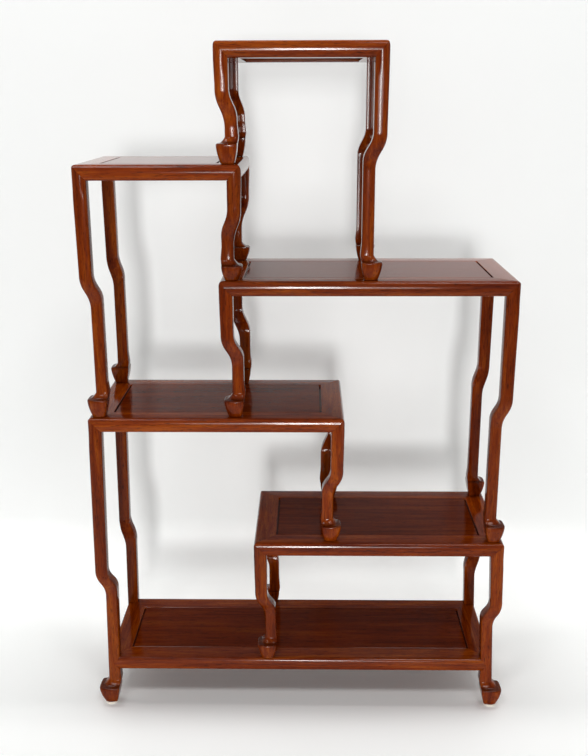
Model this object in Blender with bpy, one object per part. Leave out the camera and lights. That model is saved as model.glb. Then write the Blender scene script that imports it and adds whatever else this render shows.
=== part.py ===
"""A stepped display shelf in dark hardwood.

A low base and five table-like shelves stand on one another. Each shelf is a mitred frame round a
floating panel, carried by four bent legs with hoof feet. All sizes are in metres, +Z is up, the
front faces -Y and the floor is z = 0.
"""

import math
from types import SimpleNamespace

import bmesh
import bpy
from mathutils import Vector

# Shelf widths and depth, between outer faces
OVERALL_WIDTH = 0.555
SHELF_DEPTH = 0.188
LOWER_RIGHT_WIDTH = 0.340
MIDDLE_LEFT_WIDTH = 0.337
UPPER_RIGHT_WIDTH = 0.379
TOP_WIDTH = 0.209
CORNER_OVERLAP = 0.031

# Height of the base's top, and how far each shelf's top is above the one before it
BASE_TOP = 0.071
LOWER_RIGHT_RISE = 0.1815
MIDDLE_LEFT_RISE = 0.1775
UPPER_RIGHT_RISE = 0.181
UPPER_LEFT_RISE = 0.143
TOP_RISE = 0.142

# Height of each pair of legs' bend above what the pair stands on
LOWER_RIGHT_BENDS = {"left": 0.083, "right": 0.138}
MIDDLE_LEFT_BENDS = {"left": 0.185, "right": 0.081}
UPPER_RIGHT_BENDS = {"left": 0.088, "right": 0.182}
UPPER_LEFT_BENDS = {"left": 0.165, "right": 0.068}
TOP_BENDS = {"left": 0.065, "right": 0.157}

# Frame rails
RAIL_HEIGHT = 0.0172
RAIL_WIDTH = 0.030
FACE_CROWN = 0.0025
GROOVE_DROP = 0.0032
GROOVE_HEIGHT = 0.0036
GROOVE_DEPTH = 0.006

# Floating panels
PANEL_THICKNESS = 0.009
PANEL_END_GAP = 0.0015
PANEL_SIDE_GAP = 0.0006
TONGUE_END_ROOM = 0.001

# Battens dovetailed across the underside of the longer panels
BATTEN_WIDTH = 0.022
BATTEN_SETBACK = 0.001
DOVETAIL_DEPTH = 0.0018
DOVETAIL_NECK = 0.014
DOVETAIL_SPREAD = 0.0012
BATTEN_TENON_LENGTH = 0.004
BATTEN_TENON_SHOULDER = 0.0008

# Legs
LEG_TOP_WIDTH = 0.0168
LEG_TAPER = 0.001
LEG_HEAD_DROP = 0.004
FLOOR_LEG_INSET = 0.012
FLOOR_LEG_WIDTH = 0.0165
CORNER_LEG_INSET = 0.0112
MIDDLE_LEG_INSET = 0.0138
SHELF_LEG_WIDTH = 0.015
BEND_LENGTH = 0.034
BEND_LAG = 0.007
SPLAY_SIDE = 0.0064
SPLAY_FRONT = 0.004

# Hoof feet, as reach beyond the leg's shaft and height above the foot's bottom
FOOT_BOTTOM_REACH = 0.0050
FOOT_INNER_TAPER = 0.0045
FLOOR_LIP_REACH = 0.0122
SHELF_LIP_REACH = 0.0106
LIP_HEIGHT = 0.0205
LIP_ROUND = 0.0015
ANKLE_HEIGHT = 0.0275
ANKLE_SWELL = 0.001
SWELL_TOP = 0.042
PAD_THICKNESS = 0.003
PAD_DIAMETER = 0.018

# Joints
FIT_GAP = 0.0003
MITRE_SKEW = 0.0008
PEG_SIDE = 0.007
PEG_DEPTH = 0.006
LEG_TENON_INSET = 0.0045
LEG_TENON_SIDE = 0.005
LEG_TENON_COVER = 0.004
RAIL_TENON_INSET = 0.0195
RAIL_TENON_WIDTH = 0.0055
RAIL_TENON_REACH = 0.009
RAIL_TENON_COVER = 0.0015
RAIL_TENON_FLOOR = 0.003
BASE_TENON_LENGTH = 0.005
BASE_TENON_INSET = 0.0035
BASE_TENON_WALL = 0.001
BASE_TENON_COVER = 0.004
SHOULDER_REACH = 0.0075
SHOULDER_DEPTH = 0.003
MORTISE_RUNOUT = 0.002

# Facets
FACE_SEGMENTS = 4
HOOF_SEGMENTS = 3
COVE_SEGMENTS = 3
BEND_SEGMENTS = 6
PAD_SEGMENTS = 24
SHARP_ANGLE = math.radians(40)

SIDES = ("left", "right")
ENDS = ("front", "back")

# Colours and roughness
LEG_COLOUR = (0.200, 0.052, 0.020)
RAIL_COLOUR = (0.180, 0.046, 0.018)
PANEL_COLOUR = (0.120, 0.036, 0.018)
FELT_COLOUR = (0.820, 0.800, 0.750)
LACQUER_ROUGHNESS = 0.28
FELT_ROUGHNESS = 0.95


def clear_scene():
    for obj in list(bpy.data.objects):
        bpy.data.objects.remove(obj, do_unlink=True)


def make_material(name, colour, roughness):
    material = bpy.data.materials.new(name)
    material.use_nodes = True
    shader = material.node_tree.nodes["Principled BSDF"]
    shader.inputs["Base Color"].default_value = (*colour, 1.0)
    shader.inputs["Roughness"].default_value = roughness
    shader.inputs["Metallic"].default_value = 0.0
    return material


def make_object(name, bm, material, smooth=False):
    """A named object from a bmesh, with its faces turned outwards."""
    bmesh.ops.recalc_face_normals(bm, faces=bm.faces)
    mesh = bpy.data.meshes.new(name)
    bm.to_mesh(mesh)
    bm.free()
    if smooth:
        mesh.shade_smooth()
        mesh.set_sharp_from_angle(angle=SHARP_ANGLE)
    mesh.materials.append(material)
    obj = bpy.data.objects.new(name, mesh)
    bpy.context.scene.collection.objects.link(obj)
    return obj


def loft(rings):
    """A closed bmesh through rings of equally many points, capped at both ends."""
    bm = bmesh.new()
    loops = [[bm.verts.new(point) for point in ring] for ring in rings]
    count = len(loops[0])
    for lower, upper in zip(loops, loops[1:]):
        for i in range(count):
            j = (i + 1) % count
            bm.faces.new((lower[i], lower[j], upper[j], upper[i]))
    bm.faces.new(loops[0])
    bm.faces.new(loops[-1])
    return bm


def boxes_mesh(boxes):
    """One bmesh of separate boxes, each given by its lowest and highest corner."""
    bm = bmesh.new()
    for low, high in boxes:
        corners = [bm.verts.new((x, y, z)) for z in (low.z, high.z)
                   for x, y in ((low.x, low.y), (high.x, low.y), (high.x, high.y), (low.x, high.y))]
        bm.faces.new(corners[:4])
        bm.faces.new(corners[4:])
        for i in range(4):
            j = (i + 1) % 4
            bm.faces.new((corners[i], corners[j], corners[4 + j], corners[4 + i]))
    return bm


def combine(target, tool_bm, operation):
    """Joins a tool shape to an object, or cuts it out, with an exact Boolean."""
    tool = make_object("tool", tool_bm, target.data.materials[0])
    modifier = target.modifiers.new(operation.lower(), "BOOLEAN")
    modifier.operation = operation
    modifier.object = tool
    bpy.context.view_layer.update()
    shaped = target.evaluated_get(bpy.context.evaluated_depsgraph_get())
    old_mesh = target.data
    target.data = bpy.data.meshes.new_from_object(shaped)
    target.data.name = target.name
    target.modifiers.clear()
    bpy.data.meshes.remove(old_mesh)
    bpy.data.objects.remove(tool, do_unlink=True)


def make_shelf(name, left, right, front, back, top):
    return SimpleNamespace(name=name, left=left, right=right, front=front, back=back, top=top)


def to_world(shelf, side, end, point):
    """A world point from a corner's own frame: p inwards along X, q inwards along Y, and z."""
    p, q, z = point
    x = shelf.left + p if side == "left" else shelf.right - p
    y = shelf.front + q if end == "front" else shelf.back - q
    return Vector((x, y, z))


def corner_box(shelf, side, end, p, q, z):
    """A world box from low and high values in a corner's own frame."""
    ends = [to_world(shelf, side, end, point) for point in zip(p, q, z)]
    low = Vector(min(values) for values in zip(*ends))
    high = Vector(max(values) for values in zip(*ends))
    return low, high


def off_mitre_box(shelf, side, end, start, width, height):
    """A square upright box near a corner, set a little off the mitre so that no edge lies along it."""
    p = (start, start + width)
    q = (start + MITRE_SKEW, start + width + MITRE_SKEW)
    return corner_box(shelf, side, end, p, q, height)


def grown(box, by):
    """A box enlarged by a clearance on every side."""
    margin = Vector((by, by, by))
    return box[0] - margin, box[1] + margin


def cut_flat(bm, shelf, side, end, point, normal):
    """Cuts away what lies beyond a plane given in a corner's own frame, and closes the cut."""
    turn = Vector((1 if side == "left" else -1, 1 if end == "front" else -1, 1))
    cut = bmesh.ops.bisect_plane(
        bm,
        geom=bm.verts[:] + bm.edges[:] + bm.faces[:],
        plane_co=to_world(shelf, side, end, point),
        plane_no=Vector(normal) * turn,
        clear_outer=True,
    )
    edges = [part for part in cut["geom_cut"] if isinstance(part, bmesh.types.BMEdge)]
    bmesh.ops.holes_fill(bm, edges=edges, sides=0)


def crown(share):
    """How far a convex face falls back from its highest line, at a share of its width."""
    return FACE_CROWN * (2 * share - 1) ** 2


def leg_section(outer, inner):
    """A leg's outline: two convex outer faces and two flat inner ones, from its outer planes."""
    width = inner - outer
    slope = 4 * FACE_CROWN + width
    corner = (slope - math.sqrt(slope ** 2 - 16 * FACE_CROWN ** 2)) / (8 * FACE_CROWN)
    shares = [corner + (1 - corner) * i / FACE_SEGMENTS for i in range(FACE_SEGMENTS + 1)]
    face = [(outer + share * width, outer + crown(share)) for share in shares]
    return face + [(inner, inner)] + [(p, q) for q, p in reversed(face[1:])]


def smooth_step(share):
    share = min(max(share, 0.0), 1.0)
    return share * share * (3 - 2 * share)


def leg_kind(inset, width, lip_reach):
    """A leg's lower shaft, as inset from its outer planes and width, and how far its foot's lip reaches."""
    return SimpleNamespace(inset=inset, width=width, lip_reach=lip_reach)


def leg_levels(foot, top, bend, kind):
    """(z, outer inset, inner inset) of a leg's sections, from the foot's bottom to the shelf's top."""
    inset = kind.inset
    shaft_inner = inset + kind.width
    levels = []
    for i in range(HOOF_SEGMENTS + 1):
        share = i / HOOF_SEGMENTS
        swell = math.sin(share * math.pi / 2)
        reach = FOOT_BOTTOM_REACH + (kind.lip_reach - FOOT_BOTTOM_REACH) * swell
        inner = shaft_inner - FOOT_INNER_TAPER * (1 - swell)
        levels.append((foot + LIP_HEIGHT * share, inset - reach, inner))
    lip_top = LIP_HEIGHT + LIP_ROUND
    for i in range(COVE_SEGMENTS + 1):
        turn = math.pi / 2 * i / COVE_SEGMENTS
        reach = (kind.lip_reach - LIP_ROUND) * (1 - math.sin(turn))
        height = lip_top + (ANKLE_HEIGHT - lip_top) * (1 - math.cos(turn))
        levels.append((foot + height, inset - reach, shaft_inner + ANKLE_SWELL * i / COVE_SEGMENTS))
    levels.append((foot + SWELL_TOP, inset, shaft_inner))
    start = bend - BEND_LENGTH / 2
    span = BEND_LENGTH + BEND_LAG
    for i in range(BEND_SEGMENTS + 1):
        rise = span * i / BEND_SEGMENTS
        outer_share = smooth_step(rise / BEND_LENGTH)
        inner_share = smooth_step((rise - BEND_LAG) / BEND_LENGTH)
        outer = inset + (LEG_TAPER - inset) * outer_share
        inner = shaft_inner + (LEG_TOP_WIDTH - shaft_inner) * inner_share
        levels.append((start + rise, outer, inner))
    levels.append((top - RAIL_HEIGHT - LEG_HEAD_DROP, 0.0, LEG_TOP_WIDTH))
    levels.append((top, 0.0, LEG_TOP_WIDTH))
    return levels


def splay_at(shelf, z):
    """How far a floor leg leans out sideways and forwards at a height.

    The lean grows evenly from nothing under the leg's own frame to the set splay at the base.
    """
    under = shelf.top - RAIL_HEIGHT
    share = max(under - z, 0.0) / (under - base_middle())
    return SPLAY_SIDE * share, SPLAY_FRONT * share


def base_middle():
    """Height of the middle of the base's rails."""
    return BASE_TOP - RAIL_HEIGHT / 2


def foot_centre(kind):
    """Inset of the middle of a foot's bottom."""
    return kind.inset + (kind.width - FOOT_INNER_TAPER - FOOT_BOTTOM_REACH) / 2


def leg_tenon(shelf, side, end):
    """The stub at a leg's head that rises inside the mitred corner."""
    low = shelf.top - RAIL_HEIGHT - LEG_HEAD_DROP / 2
    height = (low, shelf.top - LEG_TENON_COVER)
    return off_mitre_box(shelf, side, end, LEG_TENON_INSET, LEG_TENON_SIDE, height)


def rail_tenon(shelf, side, end):
    """The tenon of a long rail that enters the short rail behind the mitre."""
    across = (RAIL_TENON_INSET, RAIL_TENON_INSET + RAIL_TENON_WIDTH)
    along = (RAIL_TENON_REACH, across[1] + MORTISE_RUNOUT)
    height = (shelf.top - RAIL_HEIGHT + RAIL_TENON_FLOOR, shelf.top - PEG_DEPTH - RAIL_TENON_COVER)
    return corner_box(shelf, side, end, along, across, height)


def base_tenon(base, side, end, along_x):
    """The stub of a base rail that enters a floor leg."""
    length = (FLOOR_LEG_WIDTH - BASE_TENON_LENGTH, FLOOR_LEG_WIDTH + MORTISE_RUNOUT)
    width = (BASE_TENON_INSET, FLOOR_LEG_WIDTH - BASE_TENON_LENGTH - BASE_TENON_WALL)
    height = (base.top - RAIL_HEIGHT + BASE_TENON_COVER, base.top - BASE_TENON_COVER)
    if along_x:
        return corner_box(base, side, end, length, width, height)
    return corner_box(base, side, end, width, length, height)


def foot_peg(shelf, side, end, seat):
    """The square peg under a foot, from just inside the foot down into the shelf below."""
    start = foot_centre(shelf.kinds[side]) - PEG_SIDE / 2
    height = (seat - PEG_DEPTH, seat + LIP_HEIGHT / 2)
    return off_mitre_box(shelf, side, end, start, PEG_SIDE, height)


def shaft_face(base, side, along_x, z):
    """How far in from the base's outer face a leaning floor leg's inner face is at a height."""
    drop = base.corners[side].top - RAIL_HEIGHT - base_middle()
    splay = SPLAY_SIDE if along_x else SPLAY_FRONT
    return FLOOR_LEG_WIDTH + splay * (z - base_middle()) / drop


def shoulder(base, side, end, along_x, clearance):
    """The pointed lap at a base rail's end, set into the outer face of a floor leg."""
    half = RAIL_HEIGHT / 2 + clearance
    root = shaft_face(base, side, along_x, base_middle()) + MORTISE_RUNOUT
    slope = SHOULDER_REACH / (RAIL_HEIGHT / 2)
    tip = FLOOR_LEG_WIDTH - SHOULDER_REACH - clearance * slope
    outline = ((root, half), (FLOOR_LEG_WIDTH, half), (tip, 0.0), (FLOOR_LEG_WIDTH, -half), (root, -half))
    rings = []
    for depth in (-MORTISE_RUNOUT, SHOULDER_DEPTH + clearance):
        places = [((run, depth) if along_x else (depth, run), base_middle() + rise) for run, rise in outline]
        rings.append([to_world(base, side, end, (*place, z)) for place, z in places])
    return loft(rings)


def make_leg(shelf, side, end, stand, material, base):
    """A bent leg with its head mitred to both rails and its foot pegged, or padded on the floor."""
    on_floor = stand is None
    seat = PAD_THICKNESS if on_floor else stand.top
    rings = []
    kind = shelf.kinds[side]
    for z, outer, inner in leg_levels(seat + FIT_GAP, shelf.top, seat + shelf.bends[side], kind):
        out_p, out_q = splay_at(shelf, z) if on_floor else (0.0, 0.0)
        section = leg_section(outer, inner)
        rings.append([to_world(shelf, side, end, (p - out_p, q - out_q, z)) for p, q in section])
    bm = loft(rings)
    for normal in ((RAIL_HEIGHT, 0, LEG_TOP_WIDTH), (0, RAIL_HEIGHT, LEG_TOP_WIDTH)):
        unit = Vector(normal).normalized()
        point = Vector((0, 0, shelf.top)) - unit * FIT_GAP / 2
        cut_flat(bm, shelf, side, end, point, unit)
    leg = make_object(f"{shelf.name}_leg_{end}_{side}", bm, material, smooth=True)
    stubs = [leg_tenon(shelf, side, end)]
    if not on_floor:
        stubs.append(foot_peg(shelf, side, end, stand.top))
    combine(leg, boxes_mesh(stubs), "UNION")
    if on_floor:
        sockets = [grown(base_tenon(base, side, end, along_x), FIT_GAP) for along_x in (True, False)]
        combine(leg, boxes_mesh(sockets), "DIFFERENCE")
        for along_x in (True, False):
            combine(leg, shoulder(base, side, end, along_x, FIT_GAP), "DIFFERENCE")


def rail_profile():
    """(inset, drop) outline of a rail: convex outer face, and a groove for the panel's tongue."""
    count = FACE_SEGMENTS + 1
    face = [(crown(i / FACE_SEGMENTS), RAIL_HEIGHT * i / FACE_SEGMENTS) for i in range(count)]
    groove_floor = RAIL_WIDTH - GROOVE_DEPTH
    groove_low = GROOVE_DROP + GROOVE_HEIGHT
    return face + [
        (RAIL_WIDTH, RAIL_HEIGHT),
        (RAIL_WIDTH, groove_low),
        (groove_floor, groove_low),
        (groove_floor, GROOVE_DROP),
        (RAIL_WIDTH, GROOVE_DROP),
        (RAIL_WIDTH, 0.0),
    ]


def rail_blank(shelf, side, end, along_x):
    """A rail before its ends are cut, as long as its shelf is between outer faces."""
    length = shelf.right - shelf.left if along_x else shelf.back - shelf.front
    rings = []
    for run in (0.0, length):
        places = [(run, inset) if along_x else (inset, run) for inset, drop in rail_profile()]
        drops = [drop for inset, drop in rail_profile()]
        rings.append([to_world(shelf, side, end, (p, q, shelf.top - drop))
                      for (p, q), drop in zip(places, drops)])
    return loft(rings)


def mitre_end(bm, shelf, side, end, along_x):
    """Cuts one end of a rail to the other rail's mitre and to the head of the leg below it."""
    to_rail = Vector((-1, 1, 0) if along_x else (1, -1, 0)).normalized()
    cut_flat(bm, shelf, side, end, -to_rail * FIT_GAP / 2, to_rail)
    to_leg = (-RAIL_HEIGHT, 0, -LEG_TOP_WIDTH) if along_x else (0, -RAIL_HEIGHT, -LEG_TOP_WIDTH)
    to_leg = Vector(to_leg).normalized()
    cut_flat(bm, shelf, side, end, Vector((0, 0, shelf.top)) - to_leg * FIT_GAP / 2, to_leg)


def butt_end(bm, base, side, end, along_x):
    """Cuts one end of a base rail to the other rail's mitre and to the floor leg in the corner."""
    to_rail = Vector((-1, 1, 0) if along_x else (1, -1, 0)).normalized()
    cut_flat(bm, base, side, end, -to_rail * FIT_GAP / 2, to_rail)
    rise = RAIL_HEIGHT / 2
    lean = (shaft_face(base, side, along_x, base_middle() + rise) - FLOOR_LEG_WIDTH) / rise
    to_leg = Vector((-1, 0, lean) if along_x else (0, -1, lean)).normalized()
    face = Vector((FLOOR_LEG_WIDTH, 0, base_middle()) if along_x else (0, FLOOR_LEG_WIDTH, base_middle()))
    cut_flat(bm, base, side, end, face - to_leg * FIT_GAP, to_leg)


def lapped_end(base, side, end, along_x):
    """The pointed shoulder of a base rail, with the rail's own convex face."""
    blank = make_object("lap", rail_blank(base, side, end, along_x), bpy.data.materials["rail_wood"])
    combine(blank, shoulder(base, side, end, along_x, 0.0), "INTERSECT")
    bm = bmesh.new()
    bm.from_mesh(blank.data)
    bpy.data.objects.remove(blank, do_unlink=True)
    return bm


def make_rails(shelf, material, cut_end, mortises):
    """Two long rails and two short ones, with the tenons and mortises of their joints."""
    is_base = shelf.name == "base"
    for end in ENDS:
        bm = rail_blank(shelf, "left", end, True)
        for side in SIDES:
            cut_end(bm, shelf, side, end, True)
        rail = make_object(f"{shelf.name}_{end}_rail", bm, material, smooth=True)
        stubs = [rail_tenon(shelf, side, end) for side in SIDES]
        if is_base:
            stubs += [base_tenon(shelf, side, end, True) for side in SIDES]
            for side in SIDES:
                combine(rail, lapped_end(shelf, side, end, True), "UNION")
        combine(rail, boxes_mesh(stubs), "UNION")
        sockets = batten_sockets(shelf, end) + mortises
        if not is_base:
            sockets += [grown(leg_tenon(shelf, side, end), FIT_GAP) for side in SIDES]
        combine(rail, boxes_mesh(sockets), "DIFFERENCE")
    for side in SIDES:
        bm = rail_blank(shelf, side, "front", False)
        for end in ENDS:
            cut_end(bm, shelf, side, end, False)
        rail = make_object(f"{shelf.name}_{side}_rail", bm, material, smooth=True)
        if is_base:
            stubs = [base_tenon(shelf, side, end, False) for end in ENDS]
            for end in ENDS:
                combine(rail, lapped_end(shelf, side, end, False), "UNION")
            combine(rail, boxes_mesh(stubs), "UNION")
        sockets = [grown(rail_tenon(shelf, side, end), FIT_GAP) for end in ENDS] + mortises
        if not is_base:
            sockets += [grown(leg_tenon(shelf, side, end), FIT_GAP) for end in ENDS]
        combine(rail, boxes_mesh(sockets), "DIFFERENCE")


def batten_places(shelf):
    """X of each batten's middle line: they divide the panel evenly."""
    panel = shelf.right - shelf.left - 2 * RAIL_WIDTH
    gaps = shelf.battens + 1
    return [shelf.left + RAIL_WIDTH + panel * (i + 1) / gaps for i in range(shelf.battens)]


def batten_tenon(shelf, end, x):
    """The stub at a batten's end that enters a long rail."""
    half = BATTEN_WIDTH / 2 - BATTEN_TENON_SHOULDER
    low = shelf.top - RAIL_HEIGHT + BATTEN_SETBACK + BATTEN_TENON_SHOULDER
    high = shelf.top - PANEL_THICKNESS - FIT_GAP - BATTEN_TENON_SHOULDER
    span = (RAIL_WIDTH - BATTEN_TENON_LENGTH, RAIL_WIDTH + MORTISE_RUNOUT)
    place = x - shelf.left
    return corner_box(shelf, "left", end, (place - half, place + half), span, (low, high))


def batten_sockets(shelf, end):
    return [grown(batten_tenon(shelf, end, x), FIT_GAP) for x in batten_places(shelf)]


def make_panel(shelf, material):
    """A board flush with its frame, with a tongue all round and slots for its battens."""
    top = shelf.top
    body = (RAIL_WIDTH + PANEL_END_GAP, RAIL_WIDTH + PANEL_SIDE_GAP)
    edge = RAIL_WIDTH - GROOVE_DEPTH + TONGUE_END_ROOM
    tongue = (edge, edge)
    tongue_top = top - GROOVE_DROP - FIT_GAP
    tongue_low = top - GROOVE_DROP - GROOVE_HEIGHT + FIT_GAP
    under = top - PANEL_THICKNESS
    steps = ((under, body), (tongue_low, body), (tongue_low, tongue),
             (tongue_top, tongue), (tongue_top, body), (top, body))
    corners = (("left", "front"), ("right", "front"), ("right", "back"), ("left", "back"))
    rings = [[to_world(shelf, side, end, (*inset, z)) for side, end in corners] for z, inset in steps]
    panel = make_object(f"{shelf.name}_panel", loft(rings), material)
    for x in batten_places(shelf):
        combine(panel, dovetail(shelf, x, RAIL_WIDTH - GROOVE_DEPTH, FIT_GAP), "DIFFERENCE")


def dovetail(shelf, x, inset, clearance):
    """A dovetailed ridge that runs from front to back, rising from just under the panel."""
    under = shelf.top - PANEL_THICKNESS
    neck = DOVETAIL_NECK / 2 + clearance
    head = neck + DOVETAIL_SPREAD
    outline = [(-neck, under - MORTISE_RUNOUT), (neck, under - MORTISE_RUNOUT), (neck, under),
               (head, under + DOVETAIL_DEPTH + clearance), (-head, under + DOVETAIL_DEPTH + clearance),
               (-neck, under)]
    return loft([[(x + offset, y, z) for offset, z in outline]
                 for y in (shelf.front + inset, shelf.back - inset)])


def make_battens(shelf, material):
    """Cross-members under a panel, dovetailed to it and tenoned into both long rails."""
    low = shelf.top - RAIL_HEIGHT + BATTEN_SETBACK
    high = shelf.top - PANEL_THICKNESS - FIT_GAP
    span = (RAIL_WIDTH + FIT_GAP, shelf.back - shelf.front - RAIL_WIDTH - FIT_GAP)
    for number, x in enumerate(batten_places(shelf), start=1):
        place = x - shelf.left
        width = (place - BATTEN_WIDTH / 2, place + BATTEN_WIDTH / 2)
        bar = boxes_mesh([corner_box(shelf, "left", "front", width, span, (low, high))])
        suffix = f"_{number}" if shelf.battens > 1 else ""
        batten = make_object(f"{shelf.name}_batten{suffix}", bar, material)
        combine(batten, dovetail(shelf, x, RAIL_WIDTH + PANEL_SIDE_GAP, 0.0), "UNION")
        combine(batten, boxes_mesh([batten_tenon(shelf, end, x) for end in ENDS]), "UNION")


def make_pad(shelf, side, end, material):
    """A round felt pad stuck under a floor leg's foot."""
    out_p, out_q = splay_at(shelf, PAD_THICKNESS)
    middle = foot_centre(shelf.kinds[side])
    centre = to_world(shelf, side, end, (middle - out_p, middle - out_q, 0.0))
    turns = [2 * math.pi * i / PAD_SEGMENTS for i in range(PAD_SEGMENTS)]
    radius = PAD_DIAMETER / 2
    rings = [[centre + Vector((radius * math.cos(a), radius * math.sin(a), z)) for a in turns]
             for z in (0.0, PAD_THICKNESS)]
    make_object(f"felt_pad_{end}_{side}", loft(rings), material, smooth=True)


def lay_out_shelves():
    """The base and the five shelves, with what each pair of legs stands on."""
    left = -OVERALL_WIDTH / 2
    right = OVERALL_WIDTH / 2
    front = -SHELF_DEPTH / 2
    back = SHELF_DEPTH / 2
    lower_top = BASE_TOP + LOWER_RIGHT_RISE
    middle_top = lower_top + MIDDLE_LEFT_RISE
    upper_top = middle_top + UPPER_RIGHT_RISE
    upper_left_top = upper_top + UPPER_LEFT_RISE
    upper_left_end = right - UPPER_RIGHT_WIDTH + CORNER_OVERLAP
    top_start = upper_left_end - CORNER_OVERLAP
    lower = make_shelf("lower_right", right - LOWER_RIGHT_WIDTH, right, front, back, lower_top)
    middle = make_shelf("middle_left", left, left + MIDDLE_LEFT_WIDTH, front, back, middle_top)
    upper = make_shelf("upper_right", right - UPPER_RIGHT_WIDTH, right, front, back, upper_top)
    upper_left = make_shelf("upper_left", left, upper_left_end, front, back, upper_left_top)
    top = make_shelf("top", top_start, top_start + TOP_WIDTH, front, back, upper_left_top + TOP_RISE)
    side_inset = FLOOR_LEG_INSET - SPLAY_SIDE
    front_inset = FLOOR_LEG_INSET - SPLAY_FRONT
    base = make_shelf("base", left + side_inset, right - side_inset,
                      front + front_inset, back - front_inset, BASE_TOP)
    base.corners = {"left": middle, "right": lower}
    floor = leg_kind(FLOOR_LEG_INSET, FLOOR_LEG_WIDTH, FLOOR_LIP_REACH)
    corner = leg_kind(CORNER_LEG_INSET, SHELF_LEG_WIDTH, SHELF_LIP_REACH)
    middle_leg = leg_kind(MIDDLE_LEG_INSET, SHELF_LEG_WIDTH, SHELF_LIP_REACH)
    stands = (
        (lower, (base, middle_leg), (None, floor), LOWER_RIGHT_BENDS, 1),
        (middle, (None, floor), (lower, middle_leg), MIDDLE_LEFT_BENDS, 1),
        (upper, (middle, middle_leg), (lower, corner), UPPER_RIGHT_BENDS, 1),
        (upper_left, (middle, corner), (upper, corner), UPPER_LEFT_BENDS, 0),
        (top, (upper_left, corner), (upper, middle_leg), TOP_BENDS, 0),
    )
    for shelf, left_stand, right_stand, bends, battens in stands:
        shelf.stand = {"left": left_stand[0], "right": right_stand[0]}
        shelf.kinds = {"left": left_stand[1], "right": right_stand[1]}
        shelf.bends = bends
        shelf.battens = battens
    base.battens = 2
    return base, [lower, middle, upper, upper_left, top]


def peg_mortises(carrier, shelves):
    """The sockets in one shelf's frame for the feet that stand on it."""
    feet = [(shelf, side, end) for shelf in shelves for side in SIDES for end in ENDS
            if shelf.stand[side] is carrier]
    sockets = []
    for shelf, side, end in feet:
        low, high = grown(foot_peg(shelf, side, end, carrier.top), FIT_GAP)
        high.z = carrier.top + MORTISE_RUNOUT
        sockets.append((low, high))
    return sockets


def main():
    clear_scene()
    leg_wood = make_material("leg_wood", LEG_COLOUR, LACQUER_ROUGHNESS)
    rail_wood = make_material("rail_wood", RAIL_COLOUR, LACQUER_ROUGHNESS)
    panel_wood = make_material("panel_wood", PANEL_COLOUR, LACQUER_ROUGHNESS)
    felt = make_material("felt", FELT_COLOUR, FELT_ROUGHNESS)
    base, shelves = lay_out_shelves()
    for shelf in [base] + shelves:
        cut_end = butt_end if shelf is base else mitre_end
        make_rails(shelf, rail_wood, cut_end, peg_mortises(shelf, shelves))
        make_panel(shelf, panel_wood)
        make_battens(shelf, panel_wood)
    for shelf in shelves:
        for side in SIDES:
            for end in ENDS:
                make_leg(shelf, side, end, shelf.stand[side], leg_wood, base)
                if shelf.stand[side] is None:
                    make_pad(shelf, side, end, felt)
    stand = bpy.data.objects.new("display_shelf", None)
    bpy.context.scene.collection.objects.link(stand)
    for obj in bpy.data.objects:
        if obj.type == "MESH":
            obj.parent = stand


main()
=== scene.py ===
"""The looks of a stepped display shelf in lacquered hardwood.

Each rail, panel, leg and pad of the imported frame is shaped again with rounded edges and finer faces,
and gets a procedural wood or felt. A pale sweep, soft lamps and a camera at the photograph's view
complete the scene. All sizes are in metres, +Z is up and the front faces -Y.
"""

import math
from types import SimpleNamespace

import bmesh
import bpy
from mathutils import Matrix, Vector


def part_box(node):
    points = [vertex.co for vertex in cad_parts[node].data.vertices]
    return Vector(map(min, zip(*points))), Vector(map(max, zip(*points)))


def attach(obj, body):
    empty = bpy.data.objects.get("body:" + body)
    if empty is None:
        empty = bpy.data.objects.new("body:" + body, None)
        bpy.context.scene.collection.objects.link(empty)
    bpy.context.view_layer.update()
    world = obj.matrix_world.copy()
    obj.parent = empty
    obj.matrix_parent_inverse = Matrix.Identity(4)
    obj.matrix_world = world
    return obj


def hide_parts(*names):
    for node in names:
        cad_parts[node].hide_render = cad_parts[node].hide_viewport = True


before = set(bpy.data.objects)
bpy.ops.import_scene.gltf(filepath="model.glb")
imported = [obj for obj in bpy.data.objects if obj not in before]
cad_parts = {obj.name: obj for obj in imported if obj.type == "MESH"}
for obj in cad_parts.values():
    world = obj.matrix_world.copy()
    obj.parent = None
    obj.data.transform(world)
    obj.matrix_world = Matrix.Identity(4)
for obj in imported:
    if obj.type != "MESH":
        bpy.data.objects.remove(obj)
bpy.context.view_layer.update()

# Camera: place, turn in radians, and focal length in heights of the image
CAMERA_PLACE = Vector((0.0123, -1.2793, 0.8310))
CAMERA_YAW = -0.016
CAMERA_PITCH = -0.283
CAMERA_ROLL = -0.003
FOCAL_HEIGHTS = 962.75 / 756
SENSOR = 36.0

# Frame rails
RAIL_HEIGHT = 0.0192
RAIL_WIDTH = 0.030
RAIL_CROWN = 0.0024
ARRIS_ROUND = 0.0028
EDGE_EASE = 0.0004
GROOVE_DROP = 0.0032
GROOVE_HEIGHT = 0.0036
GROOVE_DEPTH = 0.006

# Floating panels
PANEL_THICKNESS = 0.009
PANEL_END_GAP = 0.0024
PANEL_SIDE_GAP = 0.0006
TONGUE_END_ROOM = 0.001

# Legs
LEG_TOP_WIDTH = 0.0178
LEG_TAPER = 0.001
LEG_HEAD_DROP = 0.004
LEG_CROWN = 0.0010
CROWN_FADE = 0.020
CROWN_FADE_EASE = 0.5
CORNER_ROUND = 0.0034
INNER_ROUND = 0.0012
OUTER_BEND_LENGTH = 0.044
OUTER_BEND_EASE = 0.46
INNER_BEND_LENGTH = 0.036
INNER_BEND_EASE = 0.44
BEND_LAG = 0.006
SPLAY_SIDE = 0.0064
SPLAY_FRONT = 0.004

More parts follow.
